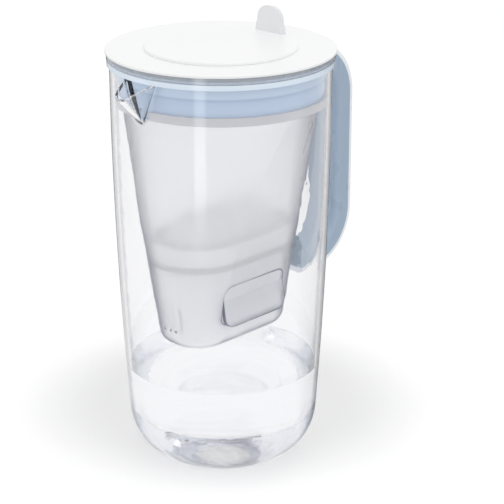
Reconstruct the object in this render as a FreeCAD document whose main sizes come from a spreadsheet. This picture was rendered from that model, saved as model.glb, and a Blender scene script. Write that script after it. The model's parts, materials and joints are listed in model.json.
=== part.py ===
"""Water filter pitcher: a glass jug with a collar and handle, a lift-out funnel that holds a
filter cartridge, and a lift-off lid with a hinged filler cap.

Millimetres. The origin is the middle of the jug's base, +Z is up, +X points to the handle and
-X to the spout. Outlines run anticlockwise and their arcs bulge outwards.
"""
import FreeCAD, Part
import math
import os
import re
import Sketcher
from FreeCAD import Placement, Rotation, Vector

# Driving sizes
SIZES = {
    # Glass jug: the wall is a gentle arc from the table to the rim
    "glass_radius": 71.5,
    "glass_foot_radius": 60.5,
    "glass_bulge": 3300,
    "glass_wall": 2.8,
    "glass_floor": 6,
    "glass_corner": 37,
    "glass_height": 274.2,
    # Spout: a pinched beak whose keel leaves the wall below the rim
    "spout_reach": 17,
    "spout_depth": 28,
    "spout_drop": 10,
    "spout_tip": 8.4,
    "spout_half_width": 16,
    "spout_wall": 2.2,
    "spout_blend": 6,
    "mouth_curve": 56,
    "keel_tip": 2.8,
    "keel_half_width": 5.3,
    "keel_taper": 1.4,
    "keel_sink": 0.2,
    "beak_root": 8.2,
    # Collar on the glass rim, with its sleeve inside the glass
    "rim_seal": 0.6,
    "rim_seal_inset": 0.3,
    "rim_gap": 0.3,
    "collar_lip": 1.2,
    "collar_skirt": 1.2,
    "collar_web": 1.6,
    "boss_inset": 2.1,
    "boss_height": 1.6,
    "sleeve_gap": 1.4,
    "sleeve_step": 1.0,
    "sleeve_step_drop": 8.7,
    "sleeve_wall": 1.8,
    "sleeve_depth": 25.4,
    "gasket_height": 5.4,
    "gasket_lip": 0.6,
    "gasket_bite": 0.8,
    "gasket_gap": 0.3,
    "pour_gap": 10.6,
    # Handle: a rounded bar bent into a C, with a lighter strip along its outside
    "tang_wall": 2.7,
    "tang_width": 26,
    "tang_depth": 20,
    "handle_drop": 10.2,
    "handle_span": 144,
    "handle_stub": 4,
    "handle_bend": 31.5,
    "handle_depth": 17,
    "handle_width": 22,
    "handle_round": 5,
    "grip_thickness": 4,
    "grip_round": 3,
    "grip_gap": 0.05,
    "foot_flare": 10,
    "bumper_thickness": 2.2,
    "bumper_inset": 1.5,
    "bumper_gap": 0.25,
    # Funnel
    "funnel_gap": 1.7,
    "funnel_wall": 2,
    "funnel_flange": 1.4,
    "funnel_flange_gap": 0.3,
    "funnel_neck_drop": 26.2,
    "funnel_floor": 2.2,
    "funnel_corner": 9,
    "seat_drop": 125.7,
    "seat_plate": 2.5,
    "chamber_margin": 3.2,
    "chamber_foot_margin": 5.5,
    "section_flat": 1.5,
    "panel_length": 56,
    "panel_height": 28,
    "panel_corner": 7,
    "panel_rise": 0.8,
    "panel_drop": 29.2,
    "vent_radius": 1.1,
    "vent_pitch": 5,
    "vent_height": 13,
    "outlet_length": 20,
    "outlet_width": 5,
    "outlet_pitch": 18,
    # Filter cartridge
    "cartridge_length": 104,
    "cartridge_width": 60,
    "cartridge_band": 12,
    "cartridge_ledge": 2,
    "cartridge_wall": 1.6,
    "cartridge_floor": 1.8,
    "cartridge_play": 0.3,
    "cup_overhang": 5.5,
    "cup_depth": 54,
    "cup_taper": 6,
    "cup_gap": 0.8,
    "cup_floor_gap": 4.5,
    "cup_slot_height": 18,
    "cup_slot_width": 1.6,
    "cup_slot_pitch": 7,
    "seal_thickness": 1.2,
    "seal_inset": 0.6,
    "fleece_thickness": 1.5,
    "cap_base_height": 7.3,
    "dome_inset": 4,
    "dome_height": 15,
    "dome_shrink": 12,
    "dome_round": 5,
    "scoop_radius": 15,
    "scoop_depth": 7,
    "inlet_length": 6,
    "inlet_width": 1.6,
    "inlet_spread": 15,
    "inlet_spacing": 7,
    "screen_thickness": 0.6,
    "screen_margin": 2,
    # Lid
    "lid_overhang": 1,
    "lid_gap": 0.3,
    "lid_play": 0.5,
    "lid_thickness": 1.4,
    "lid_round": 0.6,
    "lid_rib_height": 1.6,
    "lid_rib_width": 2,
    "lid_rib_inset": 3,
    "lid_plug_wall": 1.8,
    "lid_plug_depth": 9,
    "lid_ring_taper": 0.8,
    "fill_radius": 44,
    # Filler cap, its thumb tab and hinge
    "cap_overlap": 5.3,
    "cap_thickness": 1.8,
    "cap_round": 0.9,
    "cap_gap": 0.1,
    "cap_play": 0.6,
    "cap_plug_wall": 1.6,
    "cap_plug_depth": 5,
    "hinge_offset": 3.4,
    "barrel_radius": 2.5,
    "barrel_width": 5,
    "barrel_gap": 0.3,
    "pin_radius": 1.2,
    "pin_running_gap": 0.05,
    "pin_press_gap": 0.01,
    "ear_thickness": 2.2,
    "ear_half_width": 2.4,
    "ear_round": 1.9,
    "ear_gap": 0.3,
    "tab_width": 25,
    "tab_top_width": 21,
    "tab_height": 17.2,
    "tab_corner": 8.5,
    "tab_thickness": 2.6,
    "tab_inset": 3.3,
    "tab_foot": 2,
}

# Levels above the table, as expressions of the driving sizes
RIM_SEAL_TOP = "(glass_height + rim_seal)"
COLLAR_TOP = f"({RIM_SEAL_TOP} + collar_web)"
BOSS_TOP = f"({COLLAR_TOP} + boss_height)"
SLEEVE_BOTTOM = "(glass_height - sleeve_depth)"
GASKET_BOTTOM = f"({SLEEVE_BOTTOM} + gasket_lip)"
FLANGE_TOP = f"({BOSS_TOP} + funnel_flange)"
NECK = "(glass_height - funnel_neck_drop)"
SEAT = "(glass_height - seat_drop)"
CUP_TOP = f"({SEAT} + seal_thickness)"
CUP_BOTTOM = f"({CUP_TOP} - cup_depth)"
LEDGE_TOP = f"({CUP_TOP} + cartridge_ledge)"
CAP_BASE_TOP = f"({LEDGE_TOP} + cap_base_height)"
DOME_TOP = f"({CAP_BASE_TOP} + dome_height)"
CHAMBER_BOTTOM = f"({CUP_BOTTOM} - cup_floor_gap - funnel_floor)"
LID_BOTTOM = f"({FLANGE_TOP} + lid_rib_height)"
LID_TOP = f"({LID_BOTTOM} + lid_thickness)"
CAP_TOP = f"({LID_TOP} + cap_gap + cap_thickness)"
HINGE_LEVEL = f"({LID_TOP} + barrel_gap + barrel_radius)"
HANDLE_TOP = "(glass_height - handle_drop)"
HANDLE_BOTTOM = f"({HANDLE_TOP} - handle_span)"
FOOT_TOP = f"({HANDLE_BOTTOM} + handle_depth / 2 + foot_flare)"

# Radii and half widths about the jug's axis
GLASS_INSIDE = "(glass_radius - glass_wall)"
BEAK_ROOT = f"({GLASS_INSIDE} - beak_root)"
LIP_INSIDE = "(glass_radius + rim_gap)"
COLLAR_RADIUS = f"({LIP_INSIDE} + collar_lip)"
BOSS_RADIUS = f"({COLLAR_RADIUS} - boss_inset)"
SLEEVE_RADIUS = f"({GLASS_INSIDE} - sleeve_gap)"
SLEEVE_LOW_RADIUS = f"({SLEEVE_RADIUS} - sleeve_step)"
SLEEVE_INSIDE = f"({SLEEVE_LOW_RADIUS} - sleeve_wall)"
GASKET_INSIDE = f"({SLEEVE_LOW_RADIUS} - gasket_bite)"
FUNNEL_RADIUS = f"({SLEEVE_INSIDE} - funnel_gap)"
FUNNEL_INSIDE = f"({FUNNEL_RADIUS} - funnel_wall)"
FLANGE_RADIUS = f"({BOSS_RADIUS} - funnel_flange_gap)"
LID_RADIUS = f"({COLLAR_RADIUS} + lid_overhang)"
LID_PLUG_RADIUS = f"({FUNNEL_INSIDE} - lid_play)"
LID_RIB_RADIUS = f"({FLANGE_RADIUS} - lid_rib_inset)"
CAP_RADIUS = "(fill_radius + cap_overlap)"
CAP_PLUG_RADIUS = "(fill_radius - cap_play)"
HINGE_X = f"({CAP_RADIUS} + hinge_offset)"
TAB_X = f"({CAP_RADIUS} - tab_inset)"
HANDLE_ROOT = f"({LIP_INSIDE} + tang_wall)"
BEND_X = f"({HANDLE_ROOT} + handle_stub)"
HANDLE_X = f"({BEND_X} + handle_bend)"

# Half lengths and half widths of the oval pieces
BAND = ("(cartridge_length / 2)", "(cartridge_width / 2)")
CUP_MOUTH = tuple(f"({half} - cup_overhang)" for half in BAND)
CUP_FOOT = tuple(f"({half} - cup_taper)" for half in CUP_MOUTH)
CHAMBER_MOUTH = tuple(f"({half} + chamber_margin)" for half in BAND)
CHAMBER_FOOT = tuple(f"({half} + chamber_foot_margin)" for half in CUP_FOOT)
BAND_INSIDE = tuple(f"({half} - cartridge_wall)" for half in BAND)
DOME_FOOT = tuple(f"({half} - dome_inset)" for half in BAND_INSIDE)
DOME_CROWN = tuple(f"({half} - dome_shrink)" for half in DOME_FOOT)

document = FreeCAD.newDocument("WaterFilterPitcher")
sheet = document.addObject("Spreadsheet::Sheet", "Sizes")
for row, (size_name, size) in enumerate(SIZES.items(), start=1):
    sheet.set(f"A{row}", size_name)
    sheet.set(f"B{row}", str(size))
    sheet.setAlias(f"B{row}", size_name)
document.recompute()

SIZE_NAME = re.compile(r"\b(" + "|".join(SIZES) + r")\b")

# How near an edge must be to the place it is looked for
EDGE_NEAR = 0.1


def bound(expression):
    """The expression as another object of the document reads it from the sheet."""
    return SIZE_NAME.sub(r"Sizes.\1", expression)


def value(expression):
    """The expression's value in millimetres."""
    return float(sheet.evalExpression(expression))


# The glass wall is one arc from the table to the rim: its chord, and the arc's centre
WALL_CHORD = "sqrt((glass_radius - glass_foot_radius)^2 + glass_height^2)"
WALL_RISE = f"sqrt(glass_bulge^2 - {WALL_CHORD}^2 / 4)"
WALL_CENTRE_R = f"((glass_radius + glass_foot_radius) / 2 - glass_height / {WALL_CHORD} * {WALL_RISE})"
WALL_CENTRE_Z = f"(glass_height / 2 + (glass_radius - glass_foot_radius) / {WALL_CHORD} * {WALL_RISE})"


def wall_radius(level, inset="0"):
    """Radius of the glass wall at a level, measured inset inside its outer face."""
    return f"({WALL_CENTRE_R} + sqrt((glass_bulge - {inset})^2 - ({level} - {WALL_CENTRE_Z})^2))"


GASKET_RADIUS = f"({wall_radius(GASKET_BOTTOM, 'glass_wall')} - gasket_gap)"


def jug_outline(floor, inset, corner):
    """Corners and arcs of the jug's outside or inside: floor, round corner and wall."""
    bulge = f"(glass_bulge - {inset})"
    centre_z = f"({floor} + {corner})"
    centre_r = f"({WALL_CENTRE_R} + sqrt(({bulge} - {corner})^2 - ({centre_z} - {WALL_CENTRE_Z})^2))"
    share = f"({bulge} / ({bulge} - {corner}))"
    touch_r = f"({WALL_CENTRE_R} + ({centre_r} - {WALL_CENTRE_R}) * {share})"
    touch_z = f"({WALL_CENTRE_Z} + ({centre_z} - {WALL_CENTRE_Z}) * {share})"
    rim = (wall_radius("glass_height", inset), "glass_height")
    corners = [("0", floor), (centre_r, floor), (touch_r, touch_z), rim, ("0", "glass_height")]
    return corners, {1: corner, 2: bulge}


def oval_at(level, low, low_half, high, high_half):
    """Half sizes of a straight-sided oval cup at a level between two known ones."""
    share = f"(({level} - {low}) / ({high} - {low}))"
    return tuple(f"({a} + ({b} - {a}) * {share})" for a, b in zip(low_half, high_half))


def grown(half, amount):
    """Half sizes with the amount, an expression, added all round."""
    return tuple(f"({size} + {amount})" for size in half)


# Sketch and feature helpers
def new_body(label):
    body = document.addObject("PartDesign::Body", label)
    body.Label = label
    return body


def new_sketch(body, name, role, offset=None):
    """A sketch on one of the body's origin planes, moved along its normal by offset."""
    sketch = body.newObject("Sketcher::SketchObject", name)
    plane = next(item for item in body.Origin.OriginFeatures if item.Role == role)
    sketch.AttachmentSupport = (plane, "")
    sketch.MapMode = "FlatFace"
    if offset:
        sketch.setExpression("AttachmentOffset.Base.z", bound(offset))
    return sketch


def dimension(sketch, kind, *places, expression):
    """A driving dimension bound to the sheet."""
    index = sketch.addConstraint(Sketcher.Constraint(kind, *places, value(expression)))
    sketch.setExpression(f"Constraints[{index}]", bound(expression))


def pin_point(sketch, geometry, place, corner):
    dimension(sketch, "DistanceX", -1, 1, geometry, place, expression=corner[0])
    dimension(sketch, "DistanceY", -1, 1, geometry, place, expression=corner[1])


def outward_arc(start, end, radius):
    """The arc that turns left from start to end."""
    chord = end - start
    middle = (start + end) / 2
    rise = math.sqrt(max(radius**2 - chord.Length**2 / 4, 0))
    centre = middle + Vector(-chord.y, chord.x, 0) / chord.Length * rise
    circle = Part.Circle(centre, Vector(0, 0, 1), radius)
    turn = [math.atan2(point.y - centre.y, point.x - centre.x) for point in (start, end)]
    return Part.ArcOfCircle(circle, turn[0], turn[1])


def outline(sketch, corners, arcs=None, closed=True, hollow=()):
    """An outline through corners, given as pairs of expressions.

    arcs maps the number of a side to the radius of the arc that takes its place.
    hollow has the numbers of the arcs that turn right, whose two ends are the other way round.
    """
    arcs = arcs or {}
    first = sketch.GeometryCount
    points = [Vector(value(x), value(y), 0) for x, y in corners]
    sides = len(points) if closed else len(points) - 1
    ends = [(2, 1) if side in hollow else (1, 2) for side in range(sides)]
    for side in range(sides):
        start, end = points[side], points[(side + 1) % len(points)]
        if side in hollow:
            start, end = end, start
        if side in arcs:
            sketch.addGeometry(outward_arc(start, end, value(arcs[side])), False)
        else:
            sketch.addGeometry(Part.LineSegment(start, end), False)
    for side in range(sides if closed else sides - 1):
        after = (side + 1) % len(points)
        sketch.addConstraint(
            Sketcher.Constraint("Coincident", first + side, ends[side][1], first + after, ends[after][0])
        )
    for side in range(sides):
        pin_point(sketch, first + side, ends[side][0], corners[side])
    if not closed:
        pin_point(sketch, first + sides - 1, ends[-1][1], corners[-1])
    for side, radius in arcs.items():
        dimension(sketch, "Radius", first + side, expression=radius)


def rectangle(sketch, low, high):
    outline(sketch, [low, (high[0], low[1]), high, (low[0], high[1])])


def rounded_rectangle(sketch, half, corner, centre=("0", "0")):
    """A rectangle with round corners, from its half sizes and corner radius."""
    along, across, corner = (f"({size})" for size in (*half, corner))
    x, y = centre
    signs = [(1, -1, "y"), (1, 1, "x"), (-1, 1, "y"), (-1, -1, "x")]
    corners = []
    for sign_x, sign_y, first in signs:
        near = (f"{x} + {sign_x} * ({along} - {corner})", f"{y} + {sign_y} * {across}")
        far = (f"{x} + {sign_x} * {along}", f"{y} + {sign_y} * ({across} - {corner})")
        corners += [near, far] if first == "y" else [far, near]
    outline(sketch, corners, {0: corner, 2: corner, 4: corner, 6: corner})


def oval(body, name, level, half):
    """A level sketch of an oval: round ends with a short flat, and straight sides."""
    sketch = new_sketch(body, name, "XY_Plane", level)
    rounded_rectangle(sketch, half, f"({half[1]} - section_flat)")
    return sketch


def round_hole(sketch, centre, radius):
    point = Vector(value(centre[0]), value(centre[1]), 0)
    index = sketch.addGeometry(Part.Circle(point, Vector(0, 0, 1), value(radius)), False)
    pin_point(sketch, index, 3, centre)
    dimension(sketch, "Radius", index, expression=radius)


def finish_feature(feature, cut=False):
    """Recomputes, and makes sure that a cut takes something away."""
    document.recompute()
    if cut and feature.Shape.Volume > feature.BaseFeature.Shape.Volume - 1e-6:
        raise RuntimeError(f"{feature.Name} cuts nothing")
    return feature


def revolve(body, name, corners, arcs=None, cut=False):
    """Turns an outline of radius and level about the jug's axis."""
    sketch = new_sketch(body, f"{name}_outline", "XZ_Plane")
    outline(sketch, corners, arcs)
    feature = body.newObject("PartDesign::Groove" if cut else "PartDesign::Revolution", name)
    feature.Profile = sketch
    feature.ReferenceAxis = (sketch, ["V_Axis"])
    feature.Angle = 360
    return finish_feature(feature, cut)


def extrude(body, name, sketch, length, cut=False, both_ways=False, backwards=False):
    feature = body.newObject("PartDesign::Pocket" if cut else "PartDesign::Pad", name)
    feature.Profile = sketch
    feature.setExpression("Length", bound(length))
    feature.Midplane = both_ways
    feature.Reversed = backwards
    return finish_feature(feature, cut)


def loft(body, name, sections, cut=False, straight=True):
    feature = body.newObject("PartDesign::SubtractiveLoft" if cut else "PartDesign::AdditiveLoft", name)
    feature.Profile = sections[0]
    feature.Sections = sections[1:]
    feature.Ruled = straight
    return finish_feature(feature, cut)


def round_edges(body, name, radius, chosen):
    """Rounds the edges of the body for which chosen(edge) is true."""
    base = body.Tip
    names = [f"Edge{n}" for n, edge in enumerate(base.Shape.Edges, start=1) if chosen(edge)]
    feature = body.newObject("PartDesign::Fillet", name)
    feature.Base = (base, names)
    feature.setExpression("Radius", bound(radius))
    return finish_feature(feature)


def is_flat_at(edge, level):
    """True for an edge that lies all at one level."""
    box = edge.BoundBox
    wanted = value(level)
    return abs(box.ZMin - wanted) < 1e-4 and abs(box.ZMax - wanted) < 1e-4


def ring(label, inside, outside, low, high):
    """A plain flat ring about the jug's axis."""
    body = new_body(label)
    revolve(body, f"{label}_ring", [(inside, low), (outside, low), (outside, high), (inside, high)])
    return body


def oval_plate(label, level, half, thickness):
    """A flat oval sheet that stands on a level."""
    body = new_body(label)
    extrude(body, f"{label}_sheet", oval(body, f"{label}_outline", level, half), thickness)
    return body


# Jug
def spout_section(body, name, level, tip, tip_radius, half_width):
    """A level section of the beak: flanks from inside the jug, tangent to a round tip at -X."""
    sketch = new_sketch(body, name, "XY_Plane", level)
    root_x = -value(BEAK_ROOT)
    root_y = value(half_width)
    radius = value(tip_radius)
    centre = Vector(-(value(tip) - radius), 0, 0)
    root = Vector(root_x, root_y, 0)
    reach = (root - centre).Length
    lean = math.atan2(root.y, root.x - centre.x) + math.acos(radius / reach)
    touch = centre + Vector(math.cos(lean), math.sin(lean), 0) * radius
    mirrored = Vector(touch.x, -touch.y, 0)
    circle = Part.Circle(centre, Vector(0, 0, 1), radius)
    sketch.addGeometry(Part.LineSegment(root, touch), False)
    sketch.addGeometry(Part.ArcOfCircle(circle, lean, 2 * math.pi - lean), False)
    sketch.addGeometry(Part.LineSegment(mirrored, Vector(root_x, -root_y, 0)), False)
    sketch.addGeometry(Part.LineSegment(Vector(root_x, -root_y, 0), root), False)
    sketch.addConstraint(Sketcher.Constraint("Tangent", 0, 2, 1, 1))
    sketch.addConstraint(Sketcher.Constraint("Tangent", 1, 2, 2, 1))
    sketch.addConstraint(Sketcher.Constraint("Coincident", 2, 2, 3, 1))
    sketch.addConstraint(Sketcher.Constraint("Coincident", 3, 2, 0, 1))
    pin_point(sketch, 0, 1, (f"-{BEAK_ROOT}", half_width))
    pin_point(sketch, 3, 1, (f"-{BEAK_ROOT}", f"-({half_width})"))
    pin_point(sketch, 1, 3, (f"-({tip} - {tip_radius})", "0"))
    dimension(sketch, "Radius", 1, expression=tip_radius)
    return sketch


def glass_jug():
    """Blown glass: round bottom, gently flared wall, and a beak cut down to its lip."""
    body = new_body("glass_jug")
    revolve(body, "jug_outside", *jug_outline("0", "0", "glass_corner"))

    keel = "(glass_height - spout_depth)"
    run = "(spout_reach * spout_depth / (spout_depth - spout_drop))"
    slant = f"sqrt(1 + ({run} / spout_depth)^2)"
    keel_tip = f"({wall_radius(keel)} - keel_sink)"
    top_tip = f"(glass_radius + {run})"
    beak = [
        spout_section(body, "beak_keel", keel, keel_tip, "keel_tip", "keel_half_width"),
        spout_section(body, "beak_top", "glass_height", top_tip, "spout_tip", "spout_half_width"),
    ]
    loft(body, "beak", beak)
    wall = value(f"{WALL_CENTRE_R} + glass_bulge") + EDGE_NEAR

    def joins_wall(edge):
        on_wall = max(math.hypot(v.X, v.Y) for v in edge.Vertexes) < wall
        rises = edge.BoundBox.ZLength > value("spout_drop")
        return edge.BoundBox.XMax < 0 and on_wall and rises and edge.Length < 2 * value("spout_depth")

    round_edges(body, "beak_blend", "spout_blend", joins_wall)
    inner_corner = "(glass_corner - (glass_wall + glass_floor) / 2)"
    revolve(body, "jug_inside", *jug_outline("glass_floor", "glass_wall", inner_corner), cut=True)
    tip_wall = f"(spout_wall * {slant})"
    channel = [
        spout_section(
            body,
            "channel_keel",
            keel,
            f"({keel_tip} - {tip_wall})",
            "(keel_tip - keel_taper)",
            "(keel_half_width - 2 * keel_taper)",
        ),
        spout_section(
            body,
            "channel_top",
            "glass_height",
            f"({top_tip} - {tip_wall})",
            "(spout_tip - spout_wall)",
            "(spout_half_width - spout_wall)",
        ),
    ]
    loft(body, "beak_channel", channel, cut=True)
    mouth = new_sketch(body, "mouth_outline", "XZ_Plane")
    outline(
        mouth,
        [
            (f"-({GLASS_INSIDE} - 2 * glass_wall)", "glass_height"),
            (f"-({GLASS_INSIDE} - 2 * glass_wall)", "glass_height + spout_drop"),
            ("-(glass_radius + 2 * spout_reach)", "glass_height + spout_drop"),
            ("-(glass_radius + 2 * spout_reach)", "glass_height - spout_drop"),
            ("-(glass_radius + spout_reach)", "glass_height - spout_drop"),
        ],
        {4: "mouth_curve"},
        hollow=(4,),
    )
    extrude(body, "mouth", mouth, "4 * spout_half_width", cut=True, both_ways=True)
    return body


def rim_seal():
    """Soft ring between the glass rim and the collar."""
    return ring(
        "rim_seal",
        f"({GLASS_INSIDE} + rim_seal_inset)",
        "(glass_radius - rim_seal_inset)",
        "glass_height",
        RIM_SEAL_TOP,
    )


def collar():
    """Ring that caps the rim, with a sleeve inside the glass and a tang for the handle."""
    body = new_body("collar")
    lip_level = "(glass_height - collar_skirt)"
    step_level = "(glass_height - sleeve_step_drop)"
    groove_top = f"({GASKET_BOTTOM} + gasket_height)"
    revolve(
        body,
        "collar_ring",
        [
            (LIP_INSIDE, lip_level),
            (COLLAR_RADIUS, lip_level),
            (COLLAR_RADIUS, COLLAR_TOP),
            (BOSS_RADIUS, COLLAR_TOP),
            (BOSS_RADIUS, BOSS_TOP),
            (SLEEVE_INSIDE, BOSS_TOP),
            (SLEEVE_INSIDE, SLEEVE_BOTTOM),
            (SLEEVE_LOW_RADIUS, SLEEVE_BOTTOM),
            (SLEEVE_LOW_RADIUS, GASKET_BOTTOM),
            (GASKET_INSIDE, GASKET_BOTTOM),
            (GASKET_INSIDE, groove_top),
            (SLEEVE_LOW_RADIUS, groove_top),
            (SLEEVE_LOW_RADIUS, step_level),
            (SLEEVE_RADIUS, step_level),
            (SLEEVE_RADIUS, RIM_SEAL_TOP),
            (LIP_INSIDE, RIM_SEAL_TOP),
        ],
    )
    tang_bottom = "(glass_height - tang_depth)"
    tang = new_sketch(body, "tang_outline", "XY_Plane", tang_bottom)
    rectangle(tang, (GLASS_INSIDE, "-tang_width / 2"), (HANDLE_ROOT, "tang_width / 2"))
    extrude(body, "tang", tang, f"{COLLAR_TOP} - {tang_bottom}")
    revolve(
        body,
        "glass_channel",
        [
            (SLEEVE_RADIUS, f"{tang_bottom} - tang_wall"),
            (LIP_INSIDE, f"{tang_bottom} - tang_wall"),
            (LIP_INSIDE, RIM_SEAL_TOP),
            (SLEEVE_RADIUS, RIM_SEAL_TOP),
        ],
        cut=True,
    )
    return body


def sleeve_gasket():
    """Soft ring round the sleeve's foot, open at the spout so that water can pour."""
    top = f"({GASKET_BOTTOM} + gasket_height)"
    body = ring("sleeve_gasket", GASKET_INSIDE, GASKET_RADIUS, GASKET_BOTTOM, top)
    gap = new_sketch(body, "pour_gap_outline", "XY_Plane", GASKET_BOTTOM)
    low = (f"-{GASKET_RADIUS} - gasket_bite", "-pour_gap / 2")
    rectangle(gap, low, ("-glass_foot_radius / 2", "pour_gap / 2"))
    extrude(body, "pour_gap", gap, "gasket_height", cut=True, backwards=True)
    return body


# Handle
FOOT_FACE = f"({wall_radius(HANDLE_BOTTOM)} + bumper_thickness)"


def handle_spine(body):
    """Middle line of the handle's bar: out from the collar, down, and back towards the glass."""
    sketch = new_sketch(body, f"{body.Label}_spine", "XZ_Plane")
    route = [
        (FOOT_FACE, HANDLE_BOTTOM),
        (BEND_X, HANDLE_BOTTOM),
        (HANDLE_X, f"({HANDLE_BOTTOM} + handle_bend)"),
        (HANDLE_X, f"({HANDLE_TOP} - handle_bend)"),
        (BEND_X, HANDLE_TOP),
        (HANDLE_ROOT, HANDLE_TOP),
    ]
    outline(sketch, route, {1: "handle_bend", 3: "handle_bend"}, closed=False)
    return sketch


def sweep(body, name, section, spine):
    feature = body.newObject("PartDesign::AdditivePipe", name)
    feature.Profile = section
    feature.Spine = (spine, [f"Edge{n + 1}" for n in range(spine.GeometryCount)])
    return finish_feature(feature)


def bar_section(body, name, place, flat, crown, rounding):
    """A section of the bar across Y: straight at its flat side and rounded at its crown."""
    sketch = new_sketch(body, name, "YZ_Plane", place)
    side = "handle_width / 2"
    if value(crown) > value(flat):
        corners = [
            (f"-{side}", flat),
            (side, flat),
            (side, f"{crown} - {rounding}"),
            (f"{side} - {rounding}", crown),
            (f"-{side} + {rounding}", crown),
            (f"-{side}", f"{crown} - {rounding}"),
        ]
        arcs = {2: rounding, 4: rounding}
    else:
        corners = [
            (f"-{side} + {rounding}", crown),
            (f"{side} - {rounding}", crown),
            (side, f"{crown} + {rounding}"),
            (side, flat),
            (f"-{side}", flat),
            (f"-{side}", f"{crown} + {rounding}"),
        ]
        arcs = {1: rounding, 5: rounding}
    outline(sketch, corners, arcs)
    return sketch


def handle_arm():
    """The bar itself, flat outside where the strip lies, with a foot that flares at the glass."""
    body = new_body("handle_arm")
    flat = f"({HANDLE_TOP} + handle_depth / 2 - grip_thickness - grip_gap)"
    inner = f"({HANDLE_TOP} - handle_depth / 2)"
    section = bar_section(body, "arm_section", HANDLE_ROOT, flat, inner, "handle_round")
    sweep(body, "arm_bar", section, handle_spine(body))
    foot_flat = f"({HANDLE_BOTTOM} - handle_depth / 2 + grip_thickness + grip_gap)"
    foot_inner = f"({HANDLE_BOTTOM} + handle_depth / 2)"
    foot = [
        bar_section(body, "foot_start", BEND_X, foot_flat, foot_inner, "handle_round"),
        bar_section(body, "foot_end", FOOT_FACE, foot_flat, FOOT_TOP, "handle_round"),
    ]
    loft(body, "arm_foot", foot)
    return body


def handle_grip():
    """Lighter strip along the outside of the bar."""
    body = new_body("handle_grip")
    outside = f"({HANDLE_TOP} + handle_depth / 2)"
    section = bar_section(
        body, "grip_section", HANDLE_ROOT, f"({outside} - grip_thickness)", outside, "grip_round"
    )
    sweep(body, "grip_bar", section, handle_spine(body))
    return body


def handle_bumper():
    """Soft pad between the handle's foot and the glass."""
    body = new_body("handle_bumper")
    section = new_sketch(body, "bumper_outline", "YZ_Plane", FOOT_FACE)
    low = f"({HANDLE_BOTTOM} - handle_depth / 2 + grip_thickness)"
    half = ("handle_width / 2 - bumper_inset", f"({FOOT_TOP} - {low}) / 2 - bumper_inset")
    rounded_rectangle(section, half, "handle_round - bumper_inset", ("0", f"({FOOT_TOP} + {low}) / 2"))
    extrude(body, "bumper_block", section, "2 * bumper_thickness + glass_wall", backwards=True)
    revolve(
        body,
        "bumper_hollow",
        [
            ("0", "0"),
            ("glass_foot_radius + bumper_gap", "0"),
            ("glass_radius + bumper_gap", "glass_height"),
            ("0", "glass_height"),
        ],
        {1: "glass_bulge"},
        cut=True,
    )
    return body


# Funnel
def funnel_sections(body, name, inset):
    """Level sections from the round neck to the oval chamber, drawn in by inset."""
    neck = (f"({FUNNEL_RADIUS} - {inset})", f"({FUNNEL_RADIUS} - {inset})")
    floor = f"({CHAMBER_BOTTOM} + {inset} * funnel_floor / funnel_wall)"
    return [
        oval(body, f"{name}_neck", NECK, neck),
        oval(body, f"{name}_seat", SEAT, grown(CHAMBER_MOUTH, f"-{inset}")),
        oval(body, f"{name}_floor", floor, grown(CHAMBER_FOOT, f"-{inset}")),
    ]


def funnel_panel(body):
    """Plain raised panel on the chamber's flat side, leaning with the wall."""
    middle = f"({SEAT} - panel_drop)"
    fall = "(chamber_margin + cup_overhang + cup_taper - chamber_foot_margin)"
    lean = f"atan({fall} / ({SEAT} - {CHAMBER_BOTTOM}))"
    face = f"({CHAMBER_MOUTH[1]} - {fall} * panel_drop / ({SEAT} - {CHAMBER_BOTTOM}) + panel_rise)"
    sketch = new_sketch(body, "panel_outline", "XZ_Plane")
    sketch.AttachmentOffset = Placement(Vector(0, 0, 0), Rotation(Vector(1, 0, 0), 1))
    sketch.setExpression("AttachmentOffset.Rotation.Angle", bound(f"-{lean}"))
    sketch.setExpression("AttachmentOffset.Base.y", bound(middle))
    sketch.setExpression("AttachmentOffset.Base.z", bound(face))
    rounded_rectangle(sketch, ("panel_length / 2", "panel_height / 2"), "panel_corner")
    extrude(body, "panel", sketch, "funnel_wall + panel_rise", backwards=True)


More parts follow.
